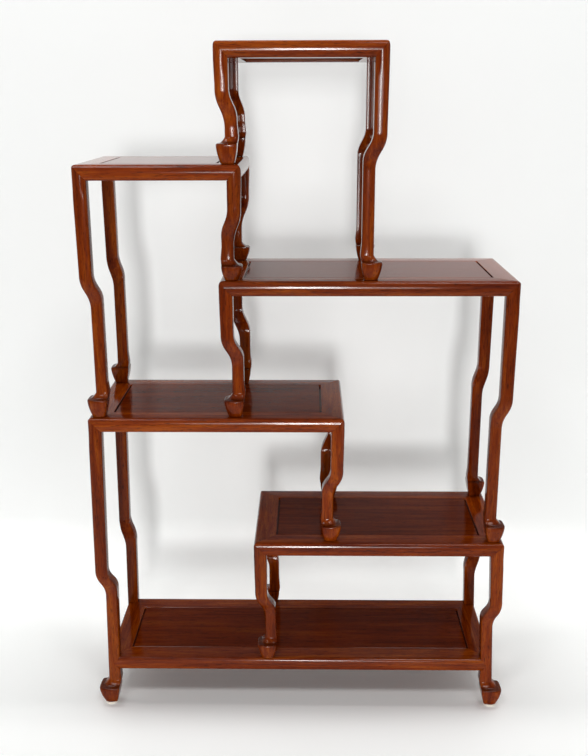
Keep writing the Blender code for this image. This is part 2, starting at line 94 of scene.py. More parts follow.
# Hoof feet: reach beyond the leg's shaft, heights, rounding and fullness
FOOT_BOTTOM_REACH = 0.0060
FOOT_INNER_TAPER = 0.0034
FOOT_EDGE_ROUND = 0.0020
FOOT_FULLNESS = 1.6
FOOT_CORNER = 0.0045
LIP_ROUND = 0.0022
ANKLE_RISE = 0.0078
ANKLE_BEAD = 0.0013
ANKLE_SWELL = 0.0014
SWELL_RISE = 0.014

# Painted shade in a foot's ankle cove: its height above the lip, how far it spreads up and down, and its
# strength
PAINTED_SHADE_RISE = 0.0006
PAINTED_SHADE_REACH = 0.0030
PAINTED_SHADE_SHARE = 0.7

# Felt pads under the floor feet
PAD_THICKNESS = 0.003
PAD_DIAMETER = 0.0186
PAD_ROUND = 0.0006
PAD_WAVE = 0.00025
PAD_RIPPLES = (7, 3)
PAD_RIPPLE_SHIFTS = (40, 60)

# Joints: seams, pointed shoulders of the base's rails, and how far a shape runs past a face
SEAM = 0.0002
SHOULDER_REACH = 0.0075
SHOULDER_DEPTH = 0.003
RUNOUT = 0.002

# Fineness of the meshes
FACE_STEPS = 12
CROWN_FADE_STEPS = 5
ROUND_STEPS = 5
HOOF_STEPS = 9
COVE_STEPS = 14
BEND_STEPS = 28
PAD_STEPS = 64
SHARP_ANGLE = math.radians(38)

SIDES = ("left", "right")
ENDS = ("front", "back")
X_AXIS, Y_AXIS, Z_AXIS = range(3)


def leg_kind(inset, width, lip_reach, lip_height):
    """A leg's lower shaft, as inset from its outer planes and width, and its foot's lip."""
    return SimpleNamespace(inset=inset, width=width, lip_reach=lip_reach, lip_height=lip_height)


FLOOR_LEG = leg_kind(0.012, 0.0165, 0.0122, 0.0232)
CORNER_LEG = leg_kind(0.0112, 0.0155, 0.0106, 0.0224)
LOW_CORNER_LEG = leg_kind(0.0112, 0.0155, 0.0106, 0.0168)
MIDDLE_LEG = leg_kind(0.0138, 0.0155, 0.0106, 0.0210)

# What each pair of legs stands on, its kind, and the height of its bend above what it stands on
STANDS = {
    "lower_right": {
        "left": ("base", MIDDLE_LEG, 0.083),
        "right": (None, FLOOR_LEG, 0.138),
    },
    "middle_left": {
        "left": (None, FLOOR_LEG, 0.185),
        "right": ("lower_right", MIDDLE_LEG, 0.081),
    },
    "upper_right": {
        "left": ("middle_left", MIDDLE_LEG, 0.088),
        "right": ("lower_right", CORNER_LEG, 0.182),
    },
    "upper_left": {
        "left": ("middle_left", CORNER_LEG, 0.165),
        "right": ("upper_right", LOW_CORNER_LEG, 0.066),
    },
    "top": {
        "left": ("upper_left", CORNER_LEG, 0.065),
        "right": ("upper_right", MIDDLE_LEG, 0.157),
    },
}

# Colours: wood from dark vein to light figure, its pores, painted shade for ankle coves and panel grooves,
# felt and paper
FRAME_TONES = ((0.088, 0.0088, 0.0003), (0.175, 0.0234, 0.0008), (0.290, 0.0575, 0.0026))
# Boards' wood, darker and redder than the frame's, in part as painted shade for the weaker light on the flat
# boards
SHADED_PANEL_TONES = ((0.066, 0.0066, 0.0003), (0.105, 0.0124, 0.0006), (0.152, 0.0250, 0.0014))
BLACK = (0.0, 0.0, 0.0)
WHITE = (1.0, 1.0, 1.0)
PORE_COLOUR = (0.022, 0.0040, 0.0010)
# Colour of the painted shade in ankle coves and panel grooves
PAINTED_SHADE_COLOUR = (0.030, 0.0040, 0.0008)
FELT_COLOURS = ((0.80, 0.72, 0.60), (0.96, 0.91, 0.82))
SWEEP_COLOURS = ((0.90, 0.91, 0.90), (0.92, 0.93, 0.92))

# How much lighter the paper looks to the eye than it is to the stand
FLOOR_GAIN = 1.16
WALL_GAIN = 1.05
BACK_GAIN = 1.5

# Weight of the clear coat, from where it faces the eye (0) to where it is seen edge on (1)
RAIL_SHINE = ((0.0, 0.75), (0.48, 0.28), (0.62, 0.32), (0.84, 0.75), (1.0, 1.0))
LEG_SHINE = ((0.0, 0.42), (0.30, 0.60), (0.48, 0.34), (0.62, 0.36), (0.84, 0.78), (1.0, 1.0))
PANEL_SHINE = ((0.0, 0.35), (0.48, 0.12), (0.62, 0.24), (0.84, 0.66), (1.0, 1.0))

# Noise fields: cells per metre, detail, roughness and distortion
FIGURE_NOISE = (62, 4, 0.55, 0.7)
VEIN_NOISE = (310, 5, 0.62, 0.3)
PORE_NOISE = (1050, 2, 0.5, 0.0)
POLISH_NOISE = (130, 2, 0.5, 0.0)
FIBRE_NOISE = (2600, 4, 0.7, 1.5)
TUFT_NOISE = (420, 3, 0.6, 0.0)
CLOUD_NOISE = (2.2, 3, 0.5, 0.0)

# Wood: how far the grain is drawn out, how its fields are mixed, and the lacquer
GRAIN_STRETCH = 16
PORE_STRETCH = 10
FIGURE_SHARE = 0.55
VEIN_SHARE = 0.45
TONE_STOPS = (0.36, 0.50, 0.66)
PORE_STOPS = (0.57, 0.66)
PORE_SHARE = 0.62
PORE_BUMP = 0.25
PORE_DEPTH = 0.0001
POLISH_BUMP = 0.35
POLISH_DEPTH = 0.0002
WOOD_ROUGHNESS = (0.34, 0.52)
COAT_ROUGHNESS = 0.11
COAT_IOR = 1.35

# How the grain is moved and the tone changed from piece to piece
GRAIN_STEPS = (0.37, 0.61, 0.83)
TONE_STEP = 0.618
TONE_RANGE = 0.16

# Felt and paper
FIBRE_SHARE = 0.6
TUFT_SHARE = 0.4
FELT_STOPS = (0.35, 0.62)
FELT_ROUGHNESS = 0.95
FELT_SPECULAR = 0.15
FELT_SHEEN = 0.4
FELT_BUMP = 0.6
FELT_DEPTH = 0.0003
CLOUD_STOPS = (0.35, 0.65)

# Lamps: place, aim, width, height and power in watts
LAMPS = {
    "left_softbox": (Vector((-0.62, -1.33, 2.20)), Vector((0.0, 0.0, 0.45)), 0.50, 0.40, 7.5),
    "right_softbox": (Vector((0.46, -1.33, 2.20)), Vector((0.0, 0.0, 0.45)), 0.50, 0.40, 7.5),
    "overhead": (Vector((0.0, -0.02, 3.20)), Vector((0.0, -0.02, 0.0)), 2.40, 0.24, 40.0),
    "front_window": (Vector((0.0, -6.0, 0.95)), Vector((0.0, 0.0, 0.50)), 0.50, 1.20, 130.0),
    "window_sides": (Vector((0.0, -6.1, 0.80)), Vector((0.0, 0.0, 0.50)), 1.80, 0.60, 45.0),
}
WORLD_COLOUR = (1.0, 1.0, 1.03)
WORLD_LIGHT = 0.09
WORLD_SEEN = 0.35

# Paper sweep under and behind the stand, where it fades, and the floor beyond it
SWEEP_START = 0.26
SWEEP_RADIUS = 0.09
SWEEP_TOP = 2.6
SWEEP_FRONT = -4.0
SWEEP_SIDE = 4.0
SWEEP_STEPS = 24
PAPER_FADE_START = -0.7
PAPER_FADE_END = -1.5
PAPER_FADE_TONE = 0.5
FLOOR_BACK = 4.0
FLOOR_DROP = 0.001


def new_node(tree, kind, values, **settings):
    """A shader node with its settings made and its inputs set to a value or linked to a socket."""
    node = tree.nodes.new(kind)
    for name, setting in settings.items():
        setattr(node, name, setting)
    for key, value in values.items():
        if isinstance(value, bpy.types.NodeSocket):
            tree.links.new(value, node.inputs[key])
        else:
            node.inputs[key].default_value = value
    return node


def new_material(name):
    """A new material, its node tree and its Principled shader."""
    material = bpy.data.materials.new(name)
    material.use_nodes = True
    tree = material.node_tree
    return material, tree, tree.nodes["Principled BSDF"]


def noise(tree, coordinates, field):
    """The value of one of the noise fields."""
    scale, detail, roughness, distortion = field
    values = {"Vector": coordinates, "Scale": scale, "Detail": detail, "Roughness": roughness,
              "Distortion": distortion}
    return new_node(tree, "ShaderNodeTexNoise", values).outputs["Fac"]


def math_node(tree, operation, first, second):
    """The result of an operation on two values."""
    return new_node(tree, "ShaderNodeMath", {0: first, 1: second}, operation=operation).outputs["Value"]


def ramp(tree, factor, stops):
    """A colour ramp through (place, colour) stops."""
    node = new_node(tree, "ShaderNodeValToRGB", {"Fac": factor})
    elements = node.color_ramp.elements
    while len(elements) < len(stops):
        elements.new(0.5)
    for element, (place, colour) in zip(elements, stops):
        element.position = place
        element.color = (*colour, 1.0)
    return node.outputs["Color"]


def mix_colours(tree, factor, first, second):
    """A mix of two colours, whose sockets come after the node's number and vector ones."""
    values = {0: factor, 6: first, 7: second}
    return new_node(tree, "ShaderNodeMix", values, data_type="RGBA").outputs[2]


def bump(tree, height, strength, distance):
    """A normal that follows a height."""
    values = {"Height": height, "Strength": strength, "Distance": distance}
    return new_node(tree, "ShaderNodeBump", values).outputs["Normal"]


def grain_coordinates(tree, axis, stretch):
    """Object coordinates moved by the piece's own shift and drawn out along the grain."""
    place = new_node(tree, "ShaderNodeTexCoord", {}).outputs["Object"]
    shift = new_node(tree, "ShaderNodeAttribute", {}, attribute_name="grain_shift").outputs["Vector"]
    moved = new_node(tree, "ShaderNodeVectorMath", {0: place, 1: shift}, operation="ADD").outputs["Vector"]
    scale = [1.0, 1.0, 1.0]
    scale[axis] = 1 / stretch
    return new_node(tree, "ShaderNodeMapping", {"Vector": moved, "Scale": scale}).outputs["Vector"]


def make_wood(name, axis, tones, shine):
    """Lacquered hardwood with its grain along one axis: figure, veins, pores and a clear coat."""
    material, tree, shader = new_material(name)
    along = grain_coordinates(tree, axis, GRAIN_STRETCH)
    fine = grain_coordinates(tree, axis, PORE_STRETCH)
    figure = noise(tree, along, FIGURE_NOISE)
    veins = noise(tree, along, VEIN_NOISE)
    pores = noise(tree, fine, PORE_NOISE)
    figure_part = math_node(tree, "MULTIPLY", figure, FIGURE_SHARE)
    vein_part = math_node(tree, "MULTIPLY", veins, VEIN_SHARE)
    pattern = math_node(tree, "ADD", figure_part, vein_part)
    wood = ramp(tree, pattern, list(zip(TONE_STOPS, tones)))
    pore_mask = ramp(tree, pores, list(zip(PORE_STOPS, (BLACK, WHITE))))
    pore_share = math_node(tree, "MULTIPLY", pore_mask, PORE_SHARE)
    pored = mix_colours(tree, pore_share, wood, (*PORE_COLOUR, 1.0))
    tone = new_node(tree, "ShaderNodeAttribute", {}, attribute_name="tone").outputs["Fac"]
    value = new_node(tree, "ShaderNodeMath", {0: tone, 1: TONE_RANGE, 2: 1.0}, operation="MULTIPLY_ADD")
    toned = new_node(tree, "ShaderNodeHueSaturation", {"Value": value.outputs["Value"], "Color": pored})
    # Painted shade: darkens the wood in a foot's ankle cove and in a panel's groove
    painted_shade = new_node(tree, "ShaderNodeAttribute", {}, attribute_name="painted_shade").outputs["Fac"]
    shade_share = math_node(tree, "MULTIPLY", painted_shade, PAINTED_SHADE_SHARE)
    shaded = mix_colours(tree, shade_share, toned.outputs["Color"], (*PAINTED_SHADE_COLOUR, 1.0))
    tree.links.new(shaded, shader.inputs["Base Color"])
    smoothest, roughest = WOOD_ROUGHNESS
    values = {"Value": veins, "To Min": smoothest, "To Max": roughest}
    roughness = new_node(tree, "ShaderNodeMapRange", values).outputs["Result"]
    tree.links.new(roughness, shader.inputs["Roughness"])
    shader.inputs["Specular IOR Level"].default_value = 0.0
    edge_on = new_node(tree, "ShaderNodeLayerWeight", {}).outputs["Facing"]
    weight = ramp(tree, edge_on, [(place, (level, level, level)) for place, level in shine])
    tree.links.new(weight, shader.inputs["Coat Weight"])
    shader.inputs["Coat Roughness"].default_value = COAT_ROUGHNESS
    shader.inputs["Coat IOR"].default_value = COAT_IOR
    sunk = math_node(tree, "MULTIPLY", pore_mask, -1.0)
    tree.links.new(bump(tree, sunk, PORE_BUMP, PORE_DEPTH), shader.inputs["Normal"])
    polish = noise(tree, along, POLISH_NOISE)
    tree.links.new(bump(tree, polish, POLISH_BUMP, POLISH_DEPTH), shader.inputs["Coat Normal"])
    return material


def make_felt():
    """Off-white pressed felt."""
    material, tree, shader = new_material("felt")
    place = new_node(tree, "ShaderNodeTexCoord", {}).outputs["Object"]
    fibres = noise(tree, place, FIBRE_NOISE)
    tufts = noise(tree, place, TUFT_NOISE)
    fibre_part = math_node(tree, "MULTIPLY", fibres, FIBRE_SHARE)
    tuft_part = math_node(tree, "MULTIPLY", tufts, TUFT_SHARE)
    pattern = math_node(tree, "ADD", fibre_part, tuft_part)
    colour = ramp(tree, pattern, list(zip(FELT_STOPS, FELT_COLOURS)))
    tree.links.new(colour, shader.inputs["Base Color"])
    shader.inputs["Roughness"].default_value = FELT_ROUGHNESS
    shader.inputs["Specular IOR Level"].default_value = FELT_SPECULAR
    shader.inputs["Sheen Weight"].default_value = FELT_SHEEN
    tree.links.new(bump(tree, fibres, FELT_BUMP, FELT_DEPTH), shader.inputs["Normal"])
    return material


def seen_rays(tree):
    """1 for rays that show a surface to the eye, also in a reflection, and 0 for those that light it."""
    rays = new_node(tree, "ShaderNodeLightPath", {}).outputs
    shown = math_node(tree, "MAXIMUM", rays["Is Camera Ray"], rays["Is Glossy Ray"])
    return math_node(tree, "MAXIMUM", shown, rays["Is Transmission Ray"])


def make_paper(name, floor_gain, wall_gain):
    """Pale matt paper, lighter to the eye than to the stand, and seen only from its front.

    It casts no shadow, and far in front of the stand it fades to the grey of the room.
    """
    material, tree, shader = new_material(name)
    place = new_node(tree, "ShaderNodeTexCoord", {}).outputs["Object"]
    cloud = noise(tree, place, CLOUD_NOISE)
    paper = ramp(tree, cloud, list(zip(CLOUD_STOPS, SWEEP_COLOURS)))
    parts = new_node(tree, "ShaderNodeSeparateXYZ", {"Vector": place}).outputs
    values = {"Value": parts["Z"], "From Max": SWEEP_RADIUS, "To Min": floor_gain - 1,
              "To Max": wall_gain - 1}
    extra = new_node(tree, "ShaderNodeMapRange", values).outputs["Result"]
    gain = math_node(tree, "ADD", math_node(tree, "MULTIPLY", extra, seen_rays(tree)), 1.0)
    values = {"Value": parts["Y"], "From Min": PAPER_FADE_END, "From Max": PAPER_FADE_START,
              "To Min": PAPER_FADE_TONE}
    fade = new_node(tree, "ShaderNodeMapRange", values, interpolation_type="SMOOTHSTEP")
    level = math_node(tree, "MULTIPLY", gain, fade.outputs["Result"])
    lit = new_node(tree, "ShaderNodeVectorMath", {0: paper, "Scale": level}, operation="SCALE")
    matt = new_node(tree, "ShaderNodeBsdfDiffuse", {"Color": lit.outputs["Vector"]}).outputs["BSDF"]
    tree.nodes.remove(shader)
    behind = new_node(tree, "ShaderNodeNewGeometry", {}).outputs["Backfacing"]
    clear = new_node(tree, "ShaderNodeBsdfTransparent", {}).outputs["BSDF"]
    shadow = new_node(tree, "ShaderNodeLightPath", {}).outputs["Is Shadow Ray"]
    passed = math_node(tree, "MAXIMUM", behind, shadow)
    values = {0: passed, 1: matt, 2: clear}
    either = new_node(tree, "ShaderNodeMixShader", values).outputs["Shader"]
    tree.links.new(either, tree.nodes["Material Output"].inputs["Surface"])
    return material


def mesh_object(name, bm, material):
    """An object from a bmesh, with its faces turned outwards."""
    bmesh.ops.recalc_face_normals(bm, faces=bm.faces)
    mesh = bpy.data.meshes.new(name)
    bm.to_mesh(mesh)
    bm.free()
    mesh.materials.append(material)
    obj = bpy.data.objects.new(name, mesh)
    bpy.context.scene.collection.objects.link(obj)
    return obj


def dress(piece, node):
    """Finishes a piece: smooth shading, its own grain, and its place for a node of the frame."""
    mesh = piece.data
    mesh.shade_smooth()
    mesh.set_sharp_from_angle(angle=SHARP_ANGLE)
    number = NODE_NAMES.index(node) + 1
    shift = mesh.attributes.new("grain_shift", "FLOAT_VECTOR", "POINT")
    shift.data.foreach_set("vector", [step * number for step in GRAIN_STEPS] * len(mesh.vertices))
    tone = mesh.attributes.new("tone", "FLOAT", "POINT")
    tone.data.foreach_set("value", [2 * (number * TONE_STEP % 1) - 1] * len(mesh.vertices))
    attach(piece, "root")
    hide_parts(node)


def loft(rings):
    """A closed bmesh through rings of equally many points, capped at both ends."""
    bm = bmesh.new()
    loops = [[bm.verts.new(point) for point in ring] for ring in rings]
    count = len(loops[0])
    for lower, upper in zip(loops, loops[1:]):
        for i in range(count):
            j = (i + 1) % count
            bm.faces.new((lower[i], lower[j], upper[j], upper[i]))
    bm.faces.new(loops[0])
    bm.faces.new(loops[-1])
    return bm


def combine(target, tool_bm, operation):
    """Joins a tool shape to an object, or cuts it out, with an exact Boolean."""
    tool = mesh_object("tool", tool_bm, target.data.materials[0])
    modifier = target.modifiers.new(operation.lower(), "BOOLEAN")
    modifier.operation = operation
    modifier.object = tool
    bpy.context.view_layer.update()
    shaped = target.evaluated_get(bpy.context.evaluated_depsgraph_get())
    old_mesh = target.data
    target.data = bpy.data.meshes.new_from_object(shaped)
    target.modifiers.clear()
    bpy.data.meshes.remove(old_mesh)
    bpy.data.objects.remove(tool, do_unlink=True)


def read_shelf(name):
    """A shelf's outer planes and top, from its rails in the frame."""
    boxes = {side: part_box(f"{name}_{side}_rail") for side in SIDES + ENDS}
    return SimpleNamespace(
        name=name,
        left=boxes["left"][0].x,
        right=boxes["right"][1].x,
        front=boxes["front"][0].y,
        back=boxes["back"][1].y,
        top=boxes["front"][1].z,
    )


def to_world(shelf, side, end, point):
    """A world point from a corner's own frame: p inwards along X, q inwards along Y, and z."""
    p, q, z = point
    x = shelf.left + p if side == "left" else shelf.right - p
    y = shelf.front + q if end == "front" else shelf.back - q
    return Vector((x, y, z))


def cut_flat(bm, shelf, side, end, point, normal):
    """Cuts away what lies beyond a plane given in a corner's own frame, and closes the cut."""
    turn = Vector((1 if side == "left" else -1, 1 if end == "front" else -1, 1))
    cut = bmesh.ops.bisect_plane(
        bm,
        geom=bm.verts[:] + bm.edges[:] + bm.faces[:],
        plane_co=to_world(shelf, side, end, point),
        plane_no=Vector(normal) * turn,
        clear_outer=True,
    )
    edges = [part for part in cut["geom_cut"] if isinstance(part, bmesh.types.BMEdge)]
    bmesh.ops.holes_fill(bm, edges=edges, sides=0)


def crown(share, depth):
    """How far a convex face falls back from its highest line, at a share of its width."""
    return depth * (2 * share - 1) ** 2


def rounded(before, corner, after):
    """Points of a small curve that takes the place of a corner between two points beside it."""
    points = []
    for i in range(ROUND_STEPS + 1):
        t = i / ROUND_STEPS
        weights = ((1 - t) ** 2, 2 * t * (1 - t), t ** 2)
        points.append(tuple(sum(w * p[k] for w, p in zip(weights, (before, corner, after))) for k in (0, 1)))
    return points


def leg_section(outer, inner, depth, corner):
    """A leg's outline: two convex outer faces and two flat inner ones, all corners rounded."""
    width = inner - outer
    # Share of the width where the two outer faces meet on the diagonal
    slope = 4 * depth + width
    meet = (slope - math.sqrt(slope ** 2 - 16 * depth ** 2)) / (8 * depth)

    def face(share):
        return outer + share * width, outer + crown(share, depth)

    first = meet + corner / width
    last = 1 - ARRIS_ROUND / width
    side = [face(first + (last - first) * i / FACE_STEPS) for i in range(FACE_STEPS + 1)]
    arris = rounded(side[-1], face(1), (inner, outer + depth + ARRIS_ROUND))
    half = side[:-1] + arris
    mirrored = [(q, p) for p, q in reversed(half)]
    inner_corner = rounded((inner, inner - INNER_ROUND), (inner, inner), (inner - INNER_ROUND, inner))
    outer_corner = rounded(mirrored[-1], face(meet), half[0])
    return half + inner_corner + mirrored + outer_corner[1:-1]


def eased_ramp(share, ease):
    """A straight ramp from 0 to 1 with both ends eased over a share of its run."""
    slope = 1 / (1 - ease)
    if share <= 0:
        return 0.0
    if share < ease:
        return slope * share ** 2 / (2 * ease)
    if share <= 1 - ease:
        return slope * (share - ease / 2)
    if share < 1:
        return 1 - slope * (1 - share) ** 2 / (2 * ease)
    return 1.0


def foot_levels(kind):
    """(height, outer reach, inner change) of a hoof foot's sections, from its bottom to the shaft."""
    edge = FOOT_EDGE_ROUND
    levels = []
    # Rounded bottom edge
    for i in range(ROUND_STEPS):
        turn = math.pi / 2 * i / ROUND_STEPS
        inwards = edge * (1 - math.sin(turn))
        levels.append((edge * (1 - math.cos(turn)), FOOT_BOTTOM_REACH - inwards, -FOOT_INNER_TAPER - inwards))
    # Hoof, swelling out to its lip
    for i in range(HOOF_STEPS + 1):
        share = i / HOOF_STEPS
        flare = 1 - (1 - share) ** FOOT_FULLNESS
        reach = FOOT_BOTTOM_REACH + (kind.lip_reach - FOOT_BOTTOM_REACH) * flare
        levels.append((edge + (kind.lip_height - edge) * share, reach, -FOOT_INNER_TAPER * (1 - flare)))
    # Rounded lip
    for i in range(1, ROUND_STEPS + 1):
        turn = math.pi / 2 * i / ROUND_STEPS
        reach = kind.lip_reach - LIP_ROUND * (1 - math.cos(turn))
        levels.append((kind.lip_height + LIP_ROUND * math.sin(turn), reach, 0.0))
    # Cove and bead of the ankle, and the swell above it
    lip_top = kind.lip_height + LIP_ROUND
    for i in range(1, COVE_STEPS + 1):
        turn = math.pi / 2 * i / COVE_STEPS
        bead = ANKLE_BEAD * math.sin(2 * turn) ** 2 * math.sin(turn)
        reach = (kind.lip_reach - LIP_ROUND) * (1 - math.sin(turn)) + bead
        levels.append((lip_top + ANKLE_RISE * (1 - math.cos(turn)), reach, ANKLE_SWELL * i / COVE_STEPS))
    levels.append((lip_top + ANKLE_RISE + SWELL_RISE, 0.0, 0.0))
    return levels


def leg_levels(foot, top, bend, kind):
    """(z, outer inset, inner inset, crown, corner) of a leg's sections, from the foot to the shelf's top."""
    shaft_inner = kind.inset + kind.width
    levels = []
    for height, reach, change in foot_levels(kind):
        corner = CORNER_ROUND + FOOT_CORNER * reach / kind.lip_reach
        levels.append((foot + height, kind.inset - reach, shaft_inner + change, LEG_CROWN, corner))
    # Bend, where the inner face follows the outer one
    outer_start = bend - OUTER_BEND_LENGTH / 2
    inner_start = bend + BEND_LAG - INNER_BEND_LENGTH / 2
    span = OUTER_BEND_LENGTH + BEND_LAG
    for i in range(BEND_STEPS + 1):
        z = outer_start + span * i / BEND_STEPS
        outer_share = eased_ramp((z - outer_start) / OUTER_BEND_LENGTH, OUTER_BEND_EASE)
        inner_share = eased_ramp((z - inner_start) / INNER_BEND_LENGTH, INNER_BEND_EASE)
        outer = kind.inset + (LEG_TAPER - kind.inset) * outer_share
        inner = shaft_inner + (LEG_TOP_WIDTH - shaft_inner) * inner_share
        levels.append((z, outer, inner, LEG_CROWN, CORNER_ROUND))
    # Straight upper part, whose crown deepens to the rails' crown at the head
    head = top - RAIL_HEIGHT - LEG_HEAD_DROP
    straight = head - outer_start - span
    for i in range(CROWN_FADE_STEPS + 1):
        share = i / CROWN_FADE_STEPS
        z = head - CROWN_FADE * (1 - share)
        depth = LEG_CROWN + (RAIL_CROWN - LEG_CROWN) * eased_ramp(share, CROWN_FADE_EASE)
        levels.append((z, LEG_TAPER * (head - z) / straight, LEG_TOP_WIDTH, depth, CORNER_ROUND))
    levels.append((top, 0.0, LEG_TOP_WIDTH, RAIL_CROWN, CORNER_ROUND))
    return levels


def base_middle(base):
    """Height of the middle of the base's rails."""
    return base.top - RAIL_HEIGHT / 2


def splay_at(shelf, base, z):
    """How far a floor leg leans out sideways and forwards at a height."""
    under = shelf.top - RAIL_HEIGHT
    share = max(under - z, 0.0) / (under - base_middle(base))
    return SPLAY_SIDE * share, SPLAY_FRONT * share


def shaft_face(base, corner_top, along_x, z):
    """How far in from the base's outer face a leaning floor leg's inner face is at a height."""
    drop = corner_top - RAIL_HEIGHT - base_middle(base)
    splay = SPLAY_SIDE if along_x else SPLAY_FRONT
    return FLOOR_LEG.width + splay * (z - base_middle(base)) / drop


def shoulder(base, side, end, along_x, clearance):
    """The pointed lap at a base rail's end, set into the outer face of a floor leg."""
    middle = base_middle(base)
    half = RAIL_HEIGHT / 2 + clearance
    root = shaft_face(base, base.corner_tops[side], along_x, middle) + RUNOUT
    slope = SHOULDER_REACH / (RAIL_HEIGHT / 2)
    face = FLOOR_LEG.width
    tip = face - SHOULDER_REACH - clearance * slope
    outline = ((root, half), (face, half), (tip, 0.0), (face, -half), (root, -half))
    rings = []
    for depth in (-RUNOUT, SHOULDER_DEPTH + clearance):
        places = [((run, depth) if along_x else (depth, run), middle + rise) for run, rise in outline]
        rings.append([to_world(base, side, end, (*place, z)) for place, z in places])
    return loft(rings)


def paint_shade_at(mesh, height):
    """Marks the wood near a height with painted shade, darkest at that height."""
    painted_shade = mesh.attributes.new("painted_shade", "FLOAT", "POINT")
    for vertex in mesh.vertices:
        painted_shade.data[vertex.index].value = max(0.0, 1 - abs(vertex.co.z - height) / PAINTED_SHADE_REACH)


def make_leg(shelf, side, end, shelves, material):
    """A bent leg with a hoof foot, its head mitred to both rails."""
    carrier, kind, bend = STANDS[shelf.name][side]
    base = shelves["base"]
    seat = PAD_THICKNESS if carrier is None else shelves[carrier].top
    rings = []
    for z, outer, inner, depth, corner in leg_levels(seat + SEAM, shelf.top, seat + bend, kind):
        out_p, out_q = splay_at(shelf, base, z) if carrier is None else (0.0, 0.0)
        section = leg_section(outer, inner, depth, corner)
        rings.append([to_world(shelf, side, end, (p - out_p, q - out_q, z)) for p, q in section])
    bm = loft(rings)
    for normal in ((RAIL_HEIGHT, 0, LEG_TOP_WIDTH), (0, RAIL_HEIGHT, LEG_TOP_WIDTH)):
        unit = Vector(normal).normalized()
        cut_flat(bm, shelf, side, end, Vector((0, 0, shelf.top)) - unit * SEAM / 2, unit)
    node = f"{shelf.name}_leg_{end}_{side}"
    leg = mesh_object(f"{node}_shaped", bm, material)
    if carrier is None:
        for along_x in (True, False):
            combine(leg, shoulder(base, side, end, along_x, SEAM), "DIFFERENCE")
    # Painted shade in the ankle's cove, just above the foot's lip
    paint_shade_at(leg.data, seat + kind.lip_height + LIP_ROUND + PAINTED_SHADE_RISE)
    dress(leg, node)


def rail_profile():
    """(inset, drop) outline of a rail: rounded convex outer face, and a groove for the panel's tongue."""

    def face(share):
        return crown(share, RAIL_CROWN), RAIL_HEIGHT * share

    first = ARRIS_ROUND / RAIL_HEIGHT
    middle = [face(first + (1 - 2 * first) * i / FACE_STEPS) for i in range(FACE_STEPS + 1)]
    top_arris = rounded((RAIL_CROWN + ARRIS_ROUND, 0.0), face(0), middle[0])
    low_arris = rounded(middle[-1], face(1), (RAIL_CROWN + ARRIS_ROUND, RAIL_HEIGHT))
    groove_floor = RAIL_WIDTH - GROOVE_DEPTH
    groove_low = GROOVE_DROP + GROOVE_HEIGHT
    return top_arris + middle[1:-1] + low_arris + [
        (RAIL_WIDTH - EDGE_EASE, RAIL_HEIGHT),
        (RAIL_WIDTH, RAIL_HEIGHT - EDGE_EASE),
        (RAIL_WIDTH, groove_low),
        (groove_floor, groove_low),
        (groove_floor, GROOVE_DROP),
        (RAIL_WIDTH, GROOVE_DROP),
        (RAIL_WIDTH, EDGE_EASE),
        (RAIL_WIDTH - EDGE_EASE, 0.0),
    ]


def rail_blank(shelf, side, end, along_x):
    """A rail before its ends are cut, as long as its shelf is between outer faces."""
    length = shelf.right - shelf.left if along_x else shelf.back - shelf.front
    rings = []
    for run in (0.0, length):
        points = [(run, inset, drop) if along_x else (inset, run, drop) for inset, drop in rail_profile()]
        rings.append([to_world(shelf, side, end, (p, q, shelf.top - drop)) for p, q, drop in points])
    return loft(rings)


def mitre_end(bm, shelf, side, end, along_x):
    """Cuts one end of a rail to the other rail's mitre and to the head of the leg below it."""
    to_rail = Vector((-1, 1, 0) if along_x else (1, -1, 0)).normalized()
    cut_flat(bm, shelf, side, end, -to_rail * SEAM / 2, to_rail)
    to_leg = (-RAIL_HEIGHT, 0, -LEG_TOP_WIDTH) if along_x else (0, -RAIL_HEIGHT, -LEG_TOP_WIDTH)
    to_leg = Vector(to_leg).normalized()
    cut_flat(bm, shelf, side, end, Vector((0, 0, shelf.top)) - to_leg * SEAM / 2, to_leg)


def butt_end(bm, base, side, end, along_x):
    """Cuts one end of a base rail to the other rail's mitre and to the floor leg in the corner."""
    to_rail = Vector((-1, 1, 0) if along_x else (1, -1, 0)).normalized()
    cut_flat(bm, base, side, end, -to_rail * SEAM / 2, to_rail)
    rise = RAIL_HEIGHT / 2
    middle = base_middle(base)
    width = FLOOR_LEG.width
    lean = (shaft_face(base, base.corner_tops[side], along_x, middle + rise) - width) / rise
    to_leg = Vector((-1, 0, lean) if along_x else (0, -1, lean)).normalized()
    place = Vector((width, 0, middle) if along_x else (0, width, middle))
    cut_flat(bm, base, side, end, place - to_leg * SEAM, to_leg)


def lapped_end(base, side, end, along_x, material):
    """The pointed shoulder of a base rail, with the rail's own convex face."""
    blank = mesh_object("lap", rail_blank(base, side, end, along_x), material)
    combine(blank, shoulder(base, side, end, along_x, 0.0), "INTERSECT")
    bm = bmesh.new()
    bm.from_mesh(blank.data)
    bpy.data.objects.remove(blank, do_unlink=True)
    return bm


def make_rail(shelf, name, along_x, corners, material):
    """A rail with both ends cut, and with pointed shoulders on the base."""
    is_base = shelf.name == "base"
    cut_end = butt_end if is_base else mitre_end
    bm = rail_blank(shelf, *corners[0], along_x)
    for side, end in corners:
        cut_end(bm, shelf, side, end, along_x)
    node = f"{shelf.name}_{name}_rail"
    rail = mesh_object(f"{node}_shaped", bm, material)
    if is_base:
        for side, end in corners:
            combine(rail, lapped_end(shelf, side, end, along_x, material), "UNION")
    dress(rail, node)


